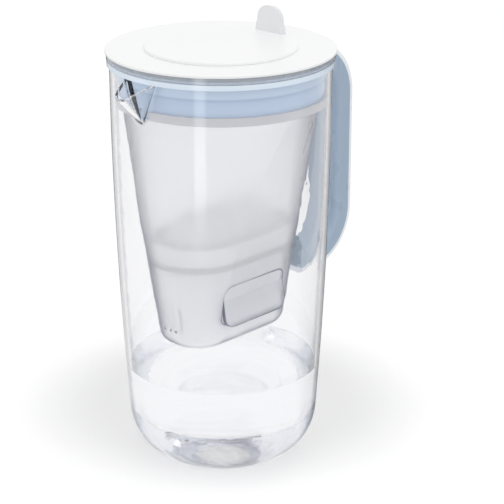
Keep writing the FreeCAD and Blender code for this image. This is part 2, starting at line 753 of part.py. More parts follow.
def funnel():
    """Clear hopper: flange on the collar, round neck, oval chamber with the cartridge seat."""
    body = new_body("funnel")
    revolve(
        body,
        "funnel_head",
        [
            ("0", NECK),
            (FUNNEL_RADIUS, NECK),
            (FUNNEL_RADIUS, BOSS_TOP),
            (FLANGE_RADIUS, BOSS_TOP),
            (FLANGE_RADIUS, FLANGE_TOP),
            ("0", FLANGE_TOP),
        ],
    )
    loft(body, "hopper", funnel_sections(body, "hopper", "0"), straight=False)
    funnel_panel(body)
    revolve(
        body,
        "funnel_throat",
        [("0", NECK), (FUNNEL_INSIDE, NECK), (FUNNEL_INSIDE, FLANGE_TOP), ("0", FLANGE_TOP)],
        cut=True,
    )
    loft(body, "hopper_inside", funnel_sections(body, "inside", "funnel_wall"), cut=True, straight=False)
    floor = f"({CHAMBER_BOTTOM} + funnel_floor)"
    inner_corner = "funnel_corner - funnel_wall"
    round_edges(body, "floor_corner", inner_corner, lambda edge: is_flat_at(edge, floor))
    round_edges(body, "chamber_corner", "funnel_corner", lambda edge: is_flat_at(edge, CHAMBER_BOTTOM))
    plate = oval(body, "seat_outline", f"({SEAT} - seat_plate)", grown(CHAMBER_MOUTH, "-funnel_wall / 2"))
    mouth = grown(CUP_MOUTH, "cup_gap")
    rounded_rectangle(plate, mouth, f"({mouth[1]} - section_flat)")
    extrude(body, "seat", plate, "seat_plate")

    outlets = new_sketch(body, "outlet_outlines", "XY_Plane", CHAMBER_BOTTOM)
    for place in (-1, 0, 1):
        middle = f"{place} * outlet_pitch"
        low = (f"{middle} - outlet_width / 2", "-outlet_length / 2")
        rectangle(outlets, low, (f"{middle} + outlet_width / 2", "outlet_length / 2"))
    extrude(body, "outlets", outlets, "2 * funnel_floor", cut=True, backwards=True)
    vents = new_sketch(body, "vent_outlines", "YZ_Plane", f"-{CHAMBER_MOUTH[0]}")
    for place in (-1, 0, 1):
        round_hole(vents, (f"{place} * vent_pitch", f"{CHAMBER_BOTTOM} + vent_height"), "vent_radius")
    extrude(body, "vents", vents, "2 * chamber_margin + 2 * funnel_wall", cut=True, backwards=True)
    return body


# Filter cartridge
def cup_inside(level, play="0"):
    """Half sizes of the cup's inside at a level, less some play."""
    outside = oval_at(level, CUP_BOTTOM, CUP_FOOT, CUP_TOP, CUP_MOUTH)
    return grown(outside, f"-cartridge_wall - {play}")


CUP_FLOOR_TOP = f"({CUP_BOTTOM} + cartridge_floor)"
MEDIA_BOTTOM = f"({CUP_FLOOR_TOP} + fleece_thickness)"
MEDIA_TOP = f"({LEDGE_TOP} - fleece_thickness)"


def cartridge_cup():
    """Tapered oval cup under a wider band, with drain slots low in its ends."""
    body = new_body("cartridge_cup")
    mouth = oval(body, "cup_mouth", CUP_TOP, CUP_MOUTH)
    loft(body, "cup", [mouth, oval(body, "cup_foot", CUP_BOTTOM, CUP_FOOT)])
    extrude(body, "band", oval(body, "band_outline", CUP_TOP, BAND), "cartridge_band")
    inside = oval(body, "band_inside", LEDGE_TOP, BAND_INSIDE)
    extrude(body, "band_hollow", inside, "cartridge_band", cut=True, backwards=True)
    hollow = [
        oval(body, "hollow_top", LEDGE_TOP, cup_inside(LEDGE_TOP)),
        oval(body, "hollow_floor", CUP_FLOOR_TOP, cup_inside(CUP_FLOOR_TOP)),
    ]
    loft(body, "cup_hollow", hollow, cut=True)
    slots = new_sketch(body, "cup_slots_outline", "YZ_Plane")
    for place in (-1, 1):
        middle = f"{place} * cup_slot_pitch / 2"
        low = (f"{middle} - cup_slot_width / 2", MEDIA_BOTTOM)
        rectangle(slots, low, (f"{middle} + cup_slot_width / 2", f"{MEDIA_BOTTOM} + cup_slot_height"))
    extrude(body, "cup_slots", slots, "cartridge_length", cut=True, both_ways=True)
    return body


def cartridge_seal():
    """Soft oval ring under the band, which sits on the funnel's seat."""
    body = new_body("cartridge_seal")
    sketch = oval(body, "seal_outline", SEAT, grown(BAND, "-seal_inset"))
    inside = grown(CUP_MOUTH, "cartridge_play")
    rounded_rectangle(sketch, inside, f"({inside[1]} - section_flat)")
    extrude(body, "seal", sketch, "seal_thickness")
    return body


def filter_media():
    """Filter granules as one block that fills the cup between the fleeces."""
    body = new_body("filter_media")
    sections = [
        oval(body, "media_top", MEDIA_TOP, cup_inside(MEDIA_TOP, "cartridge_play")),
        oval(body, "media_bottom", MEDIA_BOTTOM, cup_inside(MEDIA_BOTTOM, "cartridge_play")),
    ]
    loft(body, "media", sections)
    return body


def dome_inside(half):
    """Half sizes of the dome's hollow, short enough to clear the scoop."""
    return (f"({half[0]} - cartridge_wall - scoop_depth)", f"({half[1]} - 2 * cartridge_wall)")


def cartridge_cap():
    """Domed cover set into the band, with inlet slots on top and a finger scoop at one end."""
    body = new_body("cartridge_cap")
    base = grown(BAND_INSIDE, "-cartridge_play")
    extrude(body, "cap_base", oval(body, "cap_base_outline", LEDGE_TOP, base), "cap_base_height")
    foot = oval(body, "dome_foot", CAP_BASE_TOP, DOME_FOOT)
    loft(body, "dome", [foot, oval(body, "dome_crown", DOME_TOP, DOME_CROWN)])
    round_edges(body, "dome_edge", "dome_round", lambda edge: is_flat_at(edge, DOME_TOP))
    scoop = new_sketch(body, "scoop_outline", "XY_Plane", CAP_BASE_TOP)
    round_hole(scoop, (f"{DOME_FOOT[0]} + scoop_radius - scoop_depth", "0"), "scoop_radius")
    extrude(body, "scoop", scoop, "dome_height", cut=True, backwards=True)
    room = grown(base, "-cartridge_wall")
    skirt = oval(body, "cap_base_inside", LEDGE_TOP, room)
    extrude(body, "cap_base_hollow", skirt, "cap_base_height - cartridge_wall", cut=True, backwards=True)
    inner_low = f"({CAP_BASE_TOP} - cartridge_wall)"
    inner_high = f"({DOME_TOP} - cartridge_wall)"
    hollow = [
        oval(body, "dome_inside_foot", inner_low, dome_inside(DOME_FOOT)),
        oval(body, "dome_inside_crown", inner_high, dome_inside(DOME_CROWN)),
    ]
    loft(body, "dome_hollow", hollow, cut=True)
    slots = new_sketch(body, "inlet_outlines", "XY_Plane", inner_high)
    for end in (-1, 1):
        for side in (-1, 1):
            x = f"{end} * inlet_spread"
            y = f"{side} * inlet_spacing / 2"
            low = (f"{x} - inlet_length / 2", f"{y} - inlet_width / 2")
            rectangle(slots, low, (f"{x} + inlet_length / 2", f"{y} + inlet_width / 2"))
    extrude(body, "inlets", slots, "2 * cartridge_wall", cut=True, backwards=True)
    return body


def inlet_screen():
    """Fine mesh sheet under the inlet slots."""
    half = grown(dome_inside(DOME_CROWN), "-screen_margin")
    level = f"({DOME_TOP} - cartridge_wall - screen_thickness)"
    return oval_plate("inlet_screen", level, half, "screen_thickness")


def inlet_fleece():
    half = cup_inside(MEDIA_TOP, "cartridge_play")
    return oval_plate("inlet_fleece", MEDIA_TOP, half, "fleece_thickness")


def outlet_fleece():
    half = cup_inside(CUP_FLOOR_TOP, "cartridge_play")
    return oval_plate("outlet_fleece", CUP_FLOOR_TOP, half, "fleece_thickness")


# Lid
def lid_plate():
    """White disc with the filler opening, a plug ring in the funnel and two hinge ears."""
    body = new_body("lid_plate")
    plug_bottom = f"({LID_BOTTOM} - lid_plug_depth)"
    plug_inside = f"({LID_PLUG_RADIUS} - lid_plug_wall)"
    rib_inside = f"({LID_RIB_RADIUS} - lid_rib_width)"
    revolve(
        body,
        "lid_disc",
        [
            ("fill_radius", LID_BOTTOM),
            (plug_inside, LID_BOTTOM),
            (plug_inside, plug_bottom),
            (LID_PLUG_RADIUS, plug_bottom),
            (LID_PLUG_RADIUS, LID_BOTTOM),
            (rib_inside, LID_BOTTOM),
            (rib_inside, FLANGE_TOP),
            (LID_RIB_RADIUS, FLANGE_TOP),
            (LID_RIB_RADIUS, LID_BOTTOM),
            (LID_RADIUS, LID_BOTTOM),
            (LID_RADIUS, LID_TOP),
            ("fill_radius", LID_TOP),
        ],
    )
    rim = value(LID_RADIUS) - EDGE_NEAR
    round_edges(
        body, "lid_edge", "lid_round", lambda edge: is_flat_at(edge, LID_TOP) and edge.BoundBox.XMax > rim
    )
    ears = new_sketch(body, "ear_outlines", "XY_Plane", LID_TOP)
    inner = "(barrel_width / 2 + ear_gap)"
    outer = f"({inner} + ear_thickness)"
    for low, high in ((f"-{outer}", f"-{inner}"), (inner, outer)):
        rectangle(ears, (f"{HINGE_X} - ear_half_width", low), (f"{HINGE_X} + ear_half_width", high))
    extrude(body, "ears", ears, f"{HINGE_LEVEL} + ear_half_width - {LID_TOP}")
    top = f"({HINGE_LEVEL} + ear_half_width)"
    long_edge = value("ear_thickness") - EDGE_NEAR
    round_edges(
        body,
        "ear_round",
        "ear_round",
        lambda edge: is_flat_at(edge, top) and edge.BoundBox.YLength > long_edge,
    )
    bores = new_sketch(body, "ear_bore_outline", "XZ_Plane")
    round_hole(bores, (HINGE_X, HINGE_LEVEL), "pin_radius + pin_press_gap")
    extrude(body, "ear_bores", bores, f"4 * {outer}", cut=True, both_ways=True)
    return body


def lid_ring():
    """Clear ring under the disc, which covers the collar's boss."""
    low = f"({COLLAR_TOP} + lid_gap)"
    inside = f"({BOSS_RADIUS} + lid_gap)"
    body = new_body("lid_ring")
    revolve(
        body,
        "lid_ring_turned",
        [
            (inside, low),
            (f"({LID_RADIUS} - lid_ring_taper)", low),
            (f"({LID_RADIUS} - lid_round)", LID_BOTTOM),
            (inside, LID_BOTTOM),
        ],
    )
    return body


def hinge_pin():
    body = new_body("hinge_pin")
    sketch = new_sketch(body, "pin_outline", "XZ_Plane")
    round_hole(sketch, (HINGE_X, HINGE_LEVEL), "pin_radius")
    extrude(body, "pin", sketch, "barrel_width + 2 * ear_gap + 2 * ear_thickness", both_ways=True)
    return body


# Filler cap
def flip_cap():
    """White disc over the filler opening, with a plug ring under it."""
    body = new_body("flip_cap")
    low = f"({LID_TOP} + cap_gap)"
    plug_bottom = f"({low} - cap_plug_depth)"
    plug_inside = f"({CAP_PLUG_RADIUS} - cap_plug_wall)"
    revolve(
        body,
        "cap_disc",
        [
            ("0", low),
            (plug_inside, low),
            (plug_inside, plug_bottom),
            (CAP_PLUG_RADIUS, plug_bottom),
            (CAP_PLUG_RADIUS, low),
            (CAP_RADIUS, low),
            (CAP_RADIUS, CAP_TOP),
            ("0", CAP_TOP),
        ],
    )
    round_edges(body, "cap_edge", "cap_round", lambda edge: is_flat_at(edge, CAP_TOP))
    return body


def thumb_tab():
    """Clear upright fin on the cap, with a foot that ends in the hinge barrel."""
    body = new_body("thumb_tab")
    back = f"({TAB_X} - tab_thickness / 2)"
    fin = new_sketch(body, "fin_outline", "YZ_Plane", back)
    top = f"({CAP_TOP} + tab_height)"
    half_top = "tab_top_width / 2"
    outline(
        fin,
        [
            ("-tab_width / 2", CAP_TOP),
            ("tab_width / 2", CAP_TOP),
            (half_top, f"{top} - tab_corner"),
            (f"{half_top} - tab_corner", top),
            (f"-{half_top} + tab_corner", top),
            (f"-{half_top}", f"{top} - tab_corner"),
        ],
        {2: "tab_corner", 4: "tab_corner"},
    )
    extrude(body, "fin", fin, "tab_thickness")
    foot = new_sketch(body, "foot_outline", "XY_Plane", CAP_TOP)
    rectangle(foot, (back, "-barrel_width / 2"), (HINGE_X, "barrel_width / 2"))
    extrude(body, "foot", foot, "tab_foot")
    barrel = new_sketch(body, "barrel_outline", "XZ_Plane")
    round_hole(barrel, (HINGE_X, HINGE_LEVEL), "barrel_radius")
    extrude(body, "barrel", barrel, "barrel_width", both_ways=True)
    bore = new_sketch(body, "barrel_bore_outline", "XZ_Plane")
    round_hole(bore, (HINGE_X, HINGE_LEVEL), "pin_radius + pin_running_gap")
    extrude(body, "barrel_bore", bore, "2 * barrel_width", cut=True, both_ways=True)
    return body


PIECES = [
    glass_jug(),
    rim_seal(),
    collar(),
    sleeve_gasket(),
    handle_arm(),
    handle_grip(),
    handle_bumper(),
    funnel(),
    cartridge_cup(),
    cartridge_seal(),
    outlet_fleece(),
    filter_media(),
    inlet_fleece(),
    cartridge_cap(),
    inlet_screen(),
    lid_plate(),
    lid_ring(),
    hinge_pin(),
    flip_cap(),
    thumb_tab(),
]

document.recompute()
for item in document.Objects:
    if {"Invalid", "Error"} & set(item.State):
        raise RuntimeError(f"{item.Name} failed: {item.State}")
for piece in PIECES:
    if piece.Shape.isNull() or not piece.Shape.isValid() or not piece.Shape.Solids:
        raise RuntimeError(f"{piece.Label} has no valid solid")

os.makedirs("parts", exist_ok=True)
for piece in PIECES:
    piece.Shape.exportStep(f"parts/{piece.Label}.step")
    print(f"{piece.Label}: {len(piece.Shape.Solids)} solid, {piece.Shape.Volume / 1000:.2f} cm3")
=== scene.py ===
import json
import math

import bmesh
import bpy
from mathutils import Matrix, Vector


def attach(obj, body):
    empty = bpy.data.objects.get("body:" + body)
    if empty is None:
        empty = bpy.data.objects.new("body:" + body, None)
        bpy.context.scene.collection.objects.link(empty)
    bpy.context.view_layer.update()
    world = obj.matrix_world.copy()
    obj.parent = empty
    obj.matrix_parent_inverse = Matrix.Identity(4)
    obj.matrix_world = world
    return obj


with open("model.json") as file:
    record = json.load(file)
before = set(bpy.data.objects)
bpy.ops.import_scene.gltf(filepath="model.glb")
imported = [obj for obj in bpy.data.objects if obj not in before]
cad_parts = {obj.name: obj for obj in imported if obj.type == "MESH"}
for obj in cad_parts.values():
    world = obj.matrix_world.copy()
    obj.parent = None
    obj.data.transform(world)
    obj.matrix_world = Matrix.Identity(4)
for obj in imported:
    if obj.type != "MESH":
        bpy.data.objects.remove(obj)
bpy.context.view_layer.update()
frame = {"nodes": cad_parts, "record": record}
nodes = frame["nodes"]
scene = bpy.context.scene
scene.view_settings.view_transform = "Standard"

# Light goes through the walls of glass, water and funnel, and round inside them, many times
GLASS_BOUNCES = 96
scene.cycles.max_bounces = GLASS_BOUNCES
scene.cycles.glossy_bounces = GLASS_BOUNCES
scene.cycles.transmission_bounces = GLASS_BOUNCES
scene.cycles.transparent_max_bounces = GLASS_BOUNCES
scene.cycles.blur_glossy = 0.0

MM = 0.001

# Camera: the photograph's viewing angle, from a pinhole fit to the lid, rim, base and handle
CAMERA_TURN = math.radians(46.3)
CAMERA_PITCH = math.radians(20.42)
CAMERA_ASIDE = 19.73 * MM
CAMERA_BACK = 1111.0 * MM
CAMERA_HEIGHT = 556.7 * MM
FOCAL_PIXELS = 1786.4
IMAGE_PIXELS = 504
SENSOR = 36.0
CLIP_START = 10 * MM

camera_data = bpy.data.cameras.new("photo_camera")
camera_data.sensor_width = SENSOR
camera_data.lens = FOCAL_PIXELS / IMAGE_PIXELS * SENSOR
camera_data.clip_start = CLIP_START
camera = bpy.data.objects.new("photo_camera", camera_data)
scene.collection.objects.link(camera)
aside = Vector((math.cos(CAMERA_TURN), -math.sin(CAMERA_TURN), 0))
away = Vector((math.sin(CAMERA_TURN), math.cos(CAMERA_TURN), 0))
camera.location = aside * CAMERA_ASIDE - away * CAMERA_BACK + Vector((0, 0, CAMERA_HEIGHT))
camera.rotation_euler = (math.pi / 2 - CAMERA_PITCH, 0, -CAMERA_TURN)
scene.camera = camera


def seen_from(turn):
    """The level direction from the part that lies turn degrees to the left of the camera."""
    angle = math.radians(turn)
    return -away * math.cos(angle) - aside * math.sin(angle)


# Node helpers
def add_node(tree, kind, inputs=None, **settings):
    """A new node with its settings and input values; an input may also be another node's output."""
    node = tree.nodes.new(kind)
    for name, setting in settings.items():
        setattr(node, name, setting)
    for name, given in (inputs or {}).items():
        if isinstance(given, bpy.types.NodeSocket):
            tree.links.new(given, node.inputs[name])
        else:
            node.inputs[name].default_value = given
    return node


def new_tree(name):
    """A new material and its empty node tree."""
    material = bpy.data.materials.new(name)
    material.use_nodes = True
    material.node_tree.nodes.clear()
    return material, material.node_tree


def math_node(tree, operation, *values):
    """The result of a sum with numbers or other nodes' outputs."""
    return add_node(tree, "ShaderNodeMath", dict(enumerate(values)), operation=operation).outputs[0]


def vector_node(tree, operation, *values):
    """The result of a sum with vectors: a vector if it normalizes one, and otherwise a number."""
    node = add_node(tree, "ShaderNodeVectorMath", dict(enumerate(values)), operation=operation)
    return node.outputs["Vector" if operation == "NORMALIZE" else "Value"]


def mix_shaders(tree, share, first, second):
    return add_node(tree, "ShaderNodeMixShader", {0: share, 1: first, 2: second}).outputs[0]


# The Mix node names its sockets alike for numbers and colours, so they go by their places
def mix_numbers(tree, share, first, second):
    return add_node(tree, "ShaderNodeMix", {0: share, 2: first, 3: second}).outputs[0]


def mix_colours(tree, share, first, second):
    inputs = {0: share, 6: first, 7: second}
    return add_node(tree, "ShaderNodeMix", inputs, data_type="RGBA").outputs[2]


def emission(tree, strength):
    return add_node(tree, "ShaderNodeEmission", {"Strength": strength}).outputs[0]


def any_ray(tree, *names):
    """1 for rays of any of the named kinds."""
    path = add_node(tree, "ShaderNodeLightPath")
    total = path.outputs[names[0]]
    for name in names[1:]:
        total = math_node(tree, "MAXIMUM", total, path.outputs[name])
    return total


def place(tree):
    """The point on the surface, in the part's own frame."""
    return add_node(tree, "ShaderNodeTexCoord").outputs["Object"]


def split(tree, vector):
    """The outputs X, Y and Z of a vector."""
    return add_node(tree, "ShaderNodeSeparateXYZ", {0: vector}).outputs


def mapped_range(tree, share, start, stop, low=0.0, high=1.0, **settings):
    """A number that runs from low to high while the share runs from start to stop."""
    return add_node(
        tree,
        "ShaderNodeMapRange",
        {"Value": share, "From Min": start, "From Max": stop, "To Min": low, "To Max": high},
        **settings,
    ).outputs[0]


def ramp(tree, share, stops):
    """A colour that runs through the stops, given as (position, colour)."""
    node = add_node(tree, "ShaderNodeValToRGB", {"Fac": share})
    elements = node.color_ramp.elements
    while len(elements) < len(stops):
        elements.new(1.0)
    for element, (position, colour) in zip(elements, stops):
        element.position = position
        element.color = (*colour, 1)
    return node.outputs["Color"]


# Noise: its scales are features a metre, and its values mostly lie between the low and the high one
NOISE_LOW = 0.3
NOISE_HIGH = 0.7
NOISE_DETAIL = 3.0
COLOUR_SCALE = 18
GLOSS_SCALE = 60
EVEN_STRETCH = (1, 1, 1)
BUMP_STRENGTH = 0.25


def noise(tree, scale, detail=NOISE_DETAIL, stretch=EVEN_STRETCH):
    mapped = add_node(tree, "ShaderNodeMapping", {"Vector": place(tree), "Scale": stretch}).outputs[0]
    return add_node(
        tree, "ShaderNodeTexNoise", {"Vector": mapped, "Scale": scale, "Detail": detail}
    ).outputs["Fac"]


def drift(tree, low, high, scale=COLOUR_SCALE):
    """A colour that drifts between two over the surface."""
    return ramp(tree, noise(tree, scale), [(NOISE_LOW, low), (NOISE_HIGH, high)])


def uneven(tree, span, scale=GLOSS_SCALE, stretch=EVEN_STRETCH):
    """A number that drifts over the surface between the two ends of a span."""
    return mapped_range(tree, noise(tree, scale, stretch=stretch), NOISE_LOW, NOISE_HIGH, *span)


def bump(tree, height, depth):
    """A normal that follows the height, with the depth in metres."""
    return add_node(
        tree, "ShaderNodeBump", {"Height": height, "Strength": BUMP_STRENGTH, "Distance": depth}
    ).outputs["Normal"]


# Materials by name, filled by plastic and clear
MATERIALS = {}


def between(low, high):
    """A paint for plastic: a soft drift between two colours."""
    return lambda tree: drift(tree, low, high)


# Collar: painted shade and a painted highlight, by level: darker behind the glass, with a painted
# shade line under its step and a painted highlight as a pale band above the rim, as (millimetres
# above the table, colour)
COLLAR_PAINTED_LIGHT = [
    (248.8, (0.55, 0.65, 0.77)),
    (255.5, (0.49, 0.59, 0.74)),
    (264.4, (0.45, 0.55, 0.70)),
    (265.4, (0.38, 0.48, 0.62)),
    (267.0, (0.52, 0.63, 0.76)),
    (272.6, (0.52, 0.63, 0.76)),
    (273.2, (0.77, 0.87, 0.99)),
    (278.0, (0.82, 0.91, 0.99)),
]


def collar_painted_light(tree):
    """A paint for plastic: the collar's painted shade and painted highlight bands, by level."""
    low, high = COLLAR_PAINTED_LIGHT[0][0], COLLAR_PAINTED_LIGHT[-1][0]
    share = mapped_range(tree, split(tree, place(tree))["Z"], low * MM, high * MM)
    return ramp(tree, share, [((level - low) / (high - low), colour) for level, colour in COLLAR_PAINTED_LIGHT])


def plastic(name, paint, rough, grain=900, depth=0.02 * MM):
    """Moulded plastic: a paint that gives its colour, a fine grain and uneven gloss."""
    MATERIALS[name], tree = new_tree(name)
    surface = add_node(
        tree,
        "ShaderNodeBsdfPrincipled",
        {
            "Base Color": paint(tree),
            "Roughness": uneven(tree, rough),
            "Normal": bump(tree, noise(tree, grain), depth),
        },
    )
    add_node(tree, "ShaderNodeOutputMaterial", {"Surface": surface.outputs[0]})


# How far a face's normal points up or down: upright up to the first value, level from the second on
LEVEL_SPAN = (0.6, 0.95)


def upright(tree):
    """1 on upright faces, and 0 on level ones."""
    normal = add_node(tree, "ShaderNodeNewGeometry").outputs["Normal"]
    level = math_node(tree, "ABSOLUTE", split(tree, normal)["Z"])
    return mapped_range(tree, level, *LEVEL_SPAN, 1.0, 0.0)


# Funnel's side panel: middle level, half sizes, corner, and the side of the axis that it is on
PANEL_LEVEL = 119.3 * MM
PANEL_HALF = (28 * MM, 14 * MM)
PANEL_CORNER = 7 * MM
PANEL_SIDE = -20 * MM
# Its painted shade line: half widths, the handle side's weight against the low side's, the span it
# widens over, the shares of its half width that its soft edge lies between, and its colour
PANEL_LINE = (0.22 * MM, 0.8 * MM)
PANEL_LEAN = 0.7
PANEL_LEAN_SPAN = (-20 * MM, 25 * MM)
PANEL_LINE_EDGE = (0.7, 1.2)
PANEL_SHADE = (0.12, 0.13, 0.2)


def panel_shade_line(tree):
    """1 along the edge of the side panel: a painted shade line, wider on its low and handle side."""
    axes = split(tree, place(tree))
    along = axes["X"]
    across = math_node(tree, "SUBTRACT", axes["Z"], PANEL_LEVEL)
    outside = []
    for value, half in zip((along, across), PANEL_HALF):
        beyond = math_node(tree, "SUBTRACT", math_node(tree, "ABSOLUTE", value), half - PANEL_CORNER)
        beyond = math_node(tree, "MAXIMUM", beyond, 0.0)
        outside.append(math_node(tree, "MULTIPLY", beyond, beyond))
    reach = math_node(tree, "SQRT", math_node(tree, "ADD", *outside))
    off_edge = math_node(tree, "ABSOLUTE", math_node(tree, "SUBTRACT", reach, PANEL_CORNER))
    lean = math_node(tree, "SUBTRACT", math_node(tree, "MULTIPLY", along, PANEL_LEAN), across)
    width = mapped_range(tree, lean, *PANEL_LEAN_SPAN, *PANEL_LINE)
    line = mapped_range(tree, math_node(tree, "DIVIDE", off_edge, width), *PANEL_LINE_EDGE, 1.0, 0.0)
    return math_node(tree, "MULTIPLY", line, math_node(tree, "LESS_THAN", axes["Y"], PANEL_SIDE))


# Beak: where it starts beyond the round wall, and how much less the painted shade darkens its edges
BEAK_START = (-78 * MM, -72 * MM)
BEAK_EDGE = 0.71
# Funnel's chamber: the levels it ends between, and how much more the painted shade darkens its edges
CHAMBER_TOP = (140 * MM, 185 * MM)
CHAMBER_EDGE = 1.16
# Uneven gloss and waves of clear walls, stretched upwards
CLEAR_GLOSS_SCALE = 40
WAVE_SCALE = 9
WAVE_DETAIL = 1.0
WALL_STRETCH = (1, 1, 0.15)
EVEN_BLEND = 0.5


def clear(
    name,
    ior,
    rough,
    tint,
    edge,
    edge_span,
    shadow,
    milk=0.0,
    wave=0.01 * MM,
    shine=0.5,
    funnel=False,
):
    """Clear or milky glass, plastic or water, with painted shade where an upright wall is seen edge on.

    Light from the lamps passes through it, dimmed by the shadow colour. The funnel has its panel's
    painted shade line and stronger painted edge shade round its chamber.
    """
    MATERIALS[name], tree = new_tree(name)
    facing = add_node(tree, "ShaderNodeLayerWeight", {"Blend": EVEN_BLEND}).outputs["Facing"]
    axes = split(tree, place(tree))
    factors = [upright(tree), mapped_range(tree, axes["X"], *BEAK_START, BEAK_EDGE, 1.0)]
    if funnel:
        factors.append(mapped_range(tree, axes["Z"], *CHAMBER_TOP, CHAMBER_EDGE, 1.0))
    for factor in factors:
        facing = math_node(tree, "MULTIPLY", facing, factor)
    # Painted shade: the colour runs from the tint to the edge colour as the wall is seen more edge on
    colour = ramp(tree, facing, [(edge_span[0], tint), (edge_span[1], edge)])
    if funnel:
        # Painted shade line along the edge of the funnel's side panel
        colour = mix_colours(tree, panel_shade_line(tree), colour, (*PANEL_SHADE, 1))
    surface = add_node(
        tree,
        "ShaderNodeBsdfPrincipled",
        {
            "Base Color": colour,
            "Transmission Weight": 1.0 - milk,
            "IOR": ior,
            "Specular IOR Level": shine,
            "Roughness": uneven(tree, rough, CLEAR_GLOSS_SCALE, WALL_STRETCH),
            "Normal": bump(tree, noise(tree, WAVE_SCALE, WAVE_DETAIL, WALL_STRETCH), wave),
        },
    ).outputs[0]
    through = add_node(tree, "ShaderNodeBsdfTransparent", {"Color": (*shadow, 1)}).outputs[0]
    both = mix_shaders(tree, any_ray(tree, "Is Shadow Ray"), surface, through)
    add_node(tree, "ShaderNodeOutputMaterial", {"Surface": both})


CLEAR_TINT = (0.97, 0.972, 0.98)
SMOOTH = (0.0, 0.005)
clear(
    "jug_glass",
    ior=1.5,
    rough=SMOOTH,
    tint=CLEAR_TINT,
    edge=(0.45, 0.46, 0.49),
    edge_span=(0.72, 0.8),
    shadow=(0.85, 0.855, 0.865),
)
clear(
    "water",
    ior=1.333,
    rough=SMOOTH,
    tint=(0.99, 0.993, 1.0),
    edge=(0.93, 0.935, 0.95),
    edge_span=(0.85, 0.99),
    shadow=(0.9, 0.9, 0.91),
)
clear(
    "clear_plastic",
    ior=1.45,
    rough=(0.27, 0.29),
    tint=CLEAR_TINT,
    edge=(0.05, 0.06, 0.12),
    edge_span=(0.46, 0.86),
    shadow=(0.85, 0.85, 0.86),
    milk=0.14,
    wave=0.0,
    funnel=True,
)
clear(
    "ring_plastic",
    ior=1.49,
    rough=(0.05, 0.1),
    tint=(0.80, 0.85, 0.92),
    edge=(0.45, 0.5, 0.58),
    edge_span=(0.6, 0.95),
    shadow=(0.95, 0.96, 0.97),
    milk=0.3,
    shine=1.0,
)
clear(
    "tab_plastic",
    ior=1.49,
    rough=(0.3, 0.36),
    tint=(0.90, 0.905, 0.92),
    edge=(0.7, 0.71, 0.75),
    edge_span=(0.5, 0.95),
    shadow=(0.93, 0.93, 0.94),
    milk=0.85,
)
# The collar's colour is painted shade and a painted highlight, set by level
plastic("blue_plastic", collar_painted_light, (0.14, 0.22))
plastic("handle_plastic", between((0.375, 0.475, 0.595), (0.385, 0.485, 0.605)), (0.26, 0.32))
plastic("grip_plastic", between((0.89, 0.93, 0.97), (0.92, 0.95, 0.98)), (0.25, 0.35))
plastic("bumper_silicone", between((0.17, 0.26, 0.36), (0.19, 0.28, 0.38)), (0.4, 0.5))
plastic("seal_silicone", between((0.66, 0.68, 0.70), (0.72, 0.74, 0.76)), (0.45, 0.6))
plastic("gasket_silicone", between((0.53, 0.53, 0.56), (0.59, 0.59, 0.61)), (0.4, 0.55))
plastic(
    "white_plastic",
    between((0.91, 0.915, 0.92), (0.925, 0.928, 0.93)),
    (0.28, 0.34),
    depth=0.004 * MM,
)
plastic("cartridge_plastic", between((0.84, 0.85, 0.86), (0.89, 0.90, 0.905)), (0.3, 0.42))
plastic("screen_mesh", between((0.75, 0.76, 0.77), (0.82, 0.83, 0.84)), (0.6, 0.8), grain=3000)
plastic("filter_fleece", between((0.78, 0.78, 0.77), (0.86, 0.86, 0.85)), (0.8, 0.95), grain=2500)
plastic(
    "filter_granules",
    between((0.05, 0.05, 0.05), (0.32, 0.28, 0.22)),
    (0.7, 0.9),
    grain=1200,
    depth=0.4 * MM,
)

# Every node wears its slot's material, apart from the bumper, which is darker than the other seals
OWN_MATERIAL = {"handle_bumper": "bumper_silicone"}
for part in frame["record"]["subparts"]:
    mesh = nodes[part["node"]].data
    mesh.materials.clear()
    slot = OWN_MATERIAL.get(part["node"], part["material_slot"])
    mesh.materials.append(MATERIALS[slot])

# Inside of the glass, in millimetres: its side is an arc, with a round corner to the flat floor
RIM_RADIUS = 71.5
FOOT_RADIUS = 60.5
GLASS_HEIGHT = 274.2
BULGE = 3300.0
GLASS_WALL = 2.8
GLASS_FLOOR = 6.0
INNER_CORNER = 32.6
CHORD = math.hypot(RIM_RADIUS - FOOT_RADIUS, GLASS_HEIGHT)
RISE = math.sqrt(BULGE**2 - CHORD**2 / 4)
BULGE_R = (RIM_RADIUS + FOOT_RADIUS) / 2 - GLASS_HEIGHT / CHORD * RISE
BULGE_Z = GLASS_HEIGHT / 2 + (RIM_RADIUS - FOOT_RADIUS) / CHORD * RISE
INSIDE = BULGE - GLASS_WALL
CORNER_Z = GLASS_FLOOR + INNER_CORNER
CORNER_R = BULGE_R + math.sqrt((INSIDE - INNER_CORNER) ** 2 - (CORNER_Z - BULGE_Z) ** 2)
CORNER_TOP = BULGE_Z + (CORNER_Z - BULGE_Z) * INSIDE / (INSIDE - INNER_CORNER)


def inside_radius(level):
    if level < CORNER_TOP:
        return CORNER_R + math.sqrt(max(INNER_CORNER**2 - (CORNER_Z - level) ** 2, 0))
    return BULGE_R + math.sqrt(INSIDE**2 - (level - BULGE_Z) ** 2)


# Filtered water, in millimetres: fills the glass below the funnel, with a meniscus at its edge. It
# reaches a little into the glass, so that no film of air shows between them
WATER_LEVEL = 68.5
WATER_OVERLAP = 0.2
MENISCUS_RISE = 0.15
MENISCUS_WIDTH = 3.0
# How fast the meniscus falls, in powers of e over its width
MENISCUS_FALL = 3.2
# Rings of its mesh on the floor, up the wall, over the meniscus and on top, the power that sets those
# of the wall closer near the floor, the steps of each ring, and the angle of a sharp edge
FLOOR_RINGS = 6
WALL_RINGS = 40
MENISCUS_RINGS = 8
TOP_RINGS = 5
WALL_SPREAD = 1.6
TURN_STEPS = 160
SHARP = math.radians(40)


